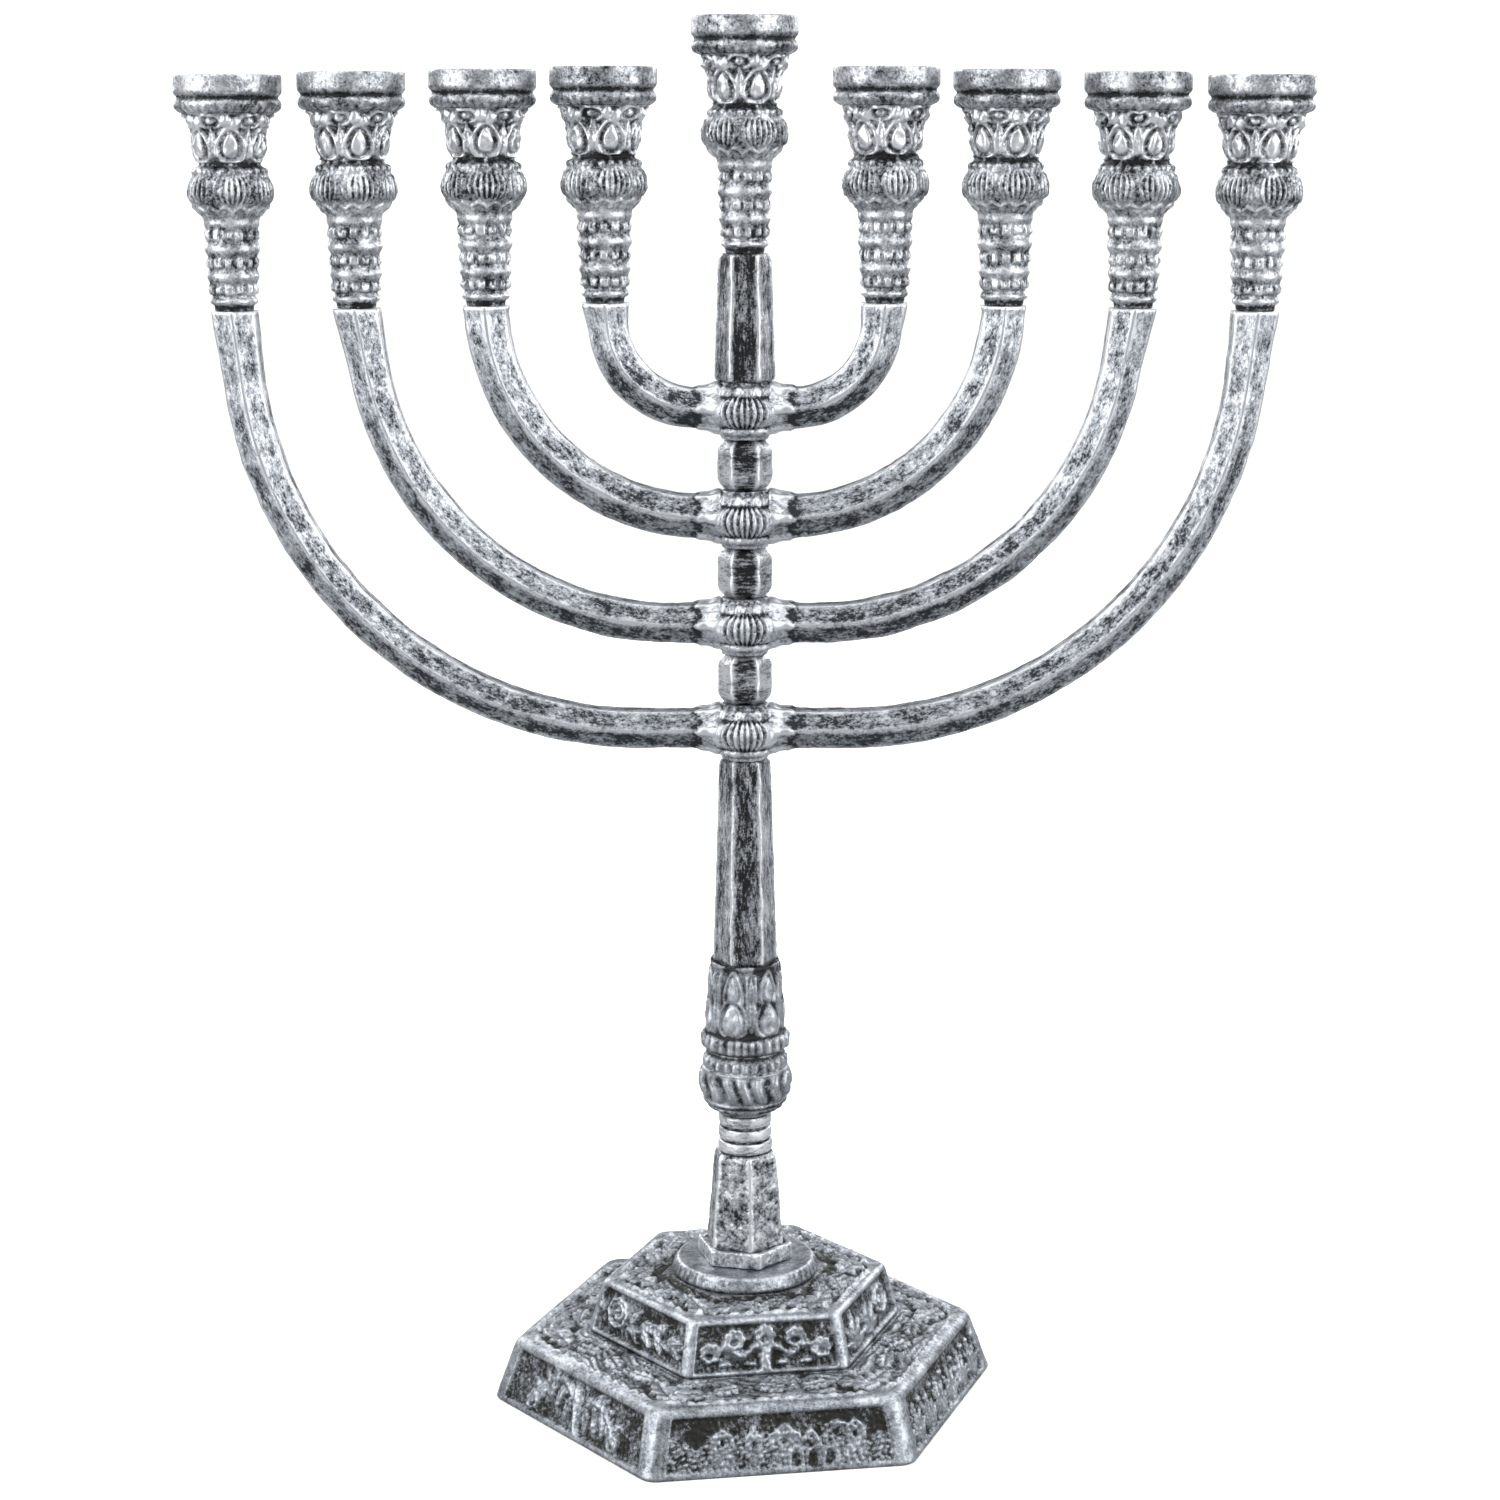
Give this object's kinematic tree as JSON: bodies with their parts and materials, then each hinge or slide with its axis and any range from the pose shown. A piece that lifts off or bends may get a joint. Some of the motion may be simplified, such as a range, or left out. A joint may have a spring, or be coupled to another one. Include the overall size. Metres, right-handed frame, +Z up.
{
  "type": "menorah",
  "caption": "Candelabrum with pairs of curved arms rising from one upright stem to a row of candle cups, on a stepped hexagonal base.",
  "frame": {"origin": "on the ground under the middle of the base, on the stem's axis", "axes": "+Z up the stem, +X towards the right-hand cups, -Y towards the front"},
  "size_m": [0.284, 0.1266, 0.36],
  "materials": {
    "silver_cups": "antique silver plate, bright relief over near-black patina",
    "silver_arms": "antique silver plate, rubbed bright along the ridges, speckled dark on the flats",
    "silver_stem": "antique silver plate, mottled, dark front flats",
    "silver_base": "antique silver plate, duller blue-grey, dark recesses",
    "plated_steel": "bright zinc-plated steel"
  },
  "bodies": {
    "base": {"base_casting": "silver_base", "round_plate": "silver_base"},
    "stem": {"foot_collar": "silver_base", "plinth": "silver_stem", "ring_collar": "silver_stem", "lower_knop": "silver_base", "leaf_calyx": "silver_base", "tall_shaft": "silver_stem", "branch_4": "silver_arms", "barrel_3": "silver_stem", "branch_3": "silver_arms", "barrel_2": "silver_stem", "branch_2": "silver_arms", "barrel_1": "silver_stem", "branch_1": "silver_arms", "upper_shaft": "silver_stem", "cup_shamash": "silver_cups", "cup_left_1": "silver_cups", "cup_right_1": "silver_cups", "cup_left_2": "silver_cups", "cup_right_2": "silver_cups", "cup_left_3": "silver_cups", "cup_right_3": "silver_cups", "cup_left_4": "silver_cups", "cup_right_4": "silver_cups", "tie_rod": "plated_steel", "rod_nut": "plated_steel", "rod_washer": "plated_steel", "cup_studs": "plated_steel"}
  },
  "joints": [
    {"name": "stem_turn", "type": "hinge", "parent": "base", "child": "stem", "pos_m": [0, 0, 0.0365], "axis": [0, 0, 1], "continuous": true}
  ]
}
